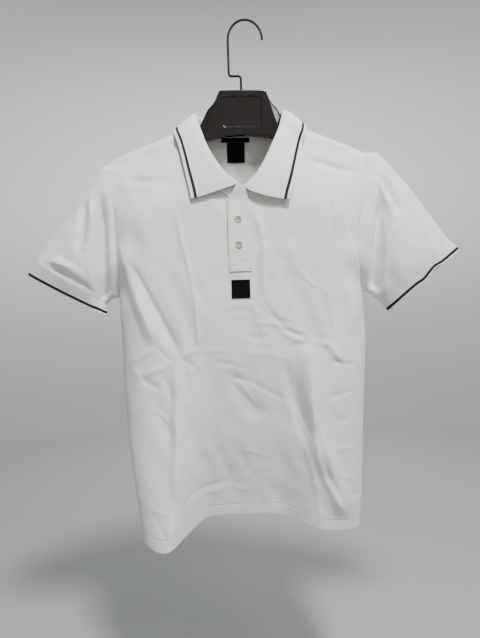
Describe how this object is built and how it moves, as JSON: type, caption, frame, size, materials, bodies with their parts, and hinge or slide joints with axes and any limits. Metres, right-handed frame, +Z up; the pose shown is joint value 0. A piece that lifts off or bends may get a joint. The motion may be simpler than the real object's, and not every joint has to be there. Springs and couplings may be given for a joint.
{
  "type": "polo shirt on a hanger",
  "caption": "Short-sleeved polo shirt with rib collar, rib cuffs and a buttoned placket, hanging open-bodied on a moulded clothes hanger with a bent wire hook.",
  "frame": {"origin": "the point under the top of the hook's arch that rests on whatever carries the hanger", "axes": "+Z up; +Y out of the shirt's back, so its front faces -Y; +X towards the wearer's left sleeve"},
  "size_m": [0.7686, 0.1323, 0.9072],
  "materials": {
    "cotton": "off-white pique knit",
    "rib_knit": "off-white flat rib knit with one black tipping line",
    "dark_weave": "plain black close weave",
    "pearl": "pearly polyester button",
    "plastic": "glossy dark brown moulded plastic",
    "wire": "black coated steel wire"
  },
  "bodies": {
    "root": {"front_panel": "cotton", "back_panel": "cotton", "sleeve_right": "cotton", "sleeve_left": "cotton", "cuff_right": "rib_knit", "cuff_left": "rib_knit", "collar": "rib_knit", "placket_top": "cotton", "placket_under": "cotton", "chest_patch": "dark_weave", "neck_tape": "dark_weave", "size_label": "dark_weave", "button_1": "pearl", "button_2": "pearl", "hanger_body": "plastic", "hanger_hook": "wire"}
  },
  "joints": []
}
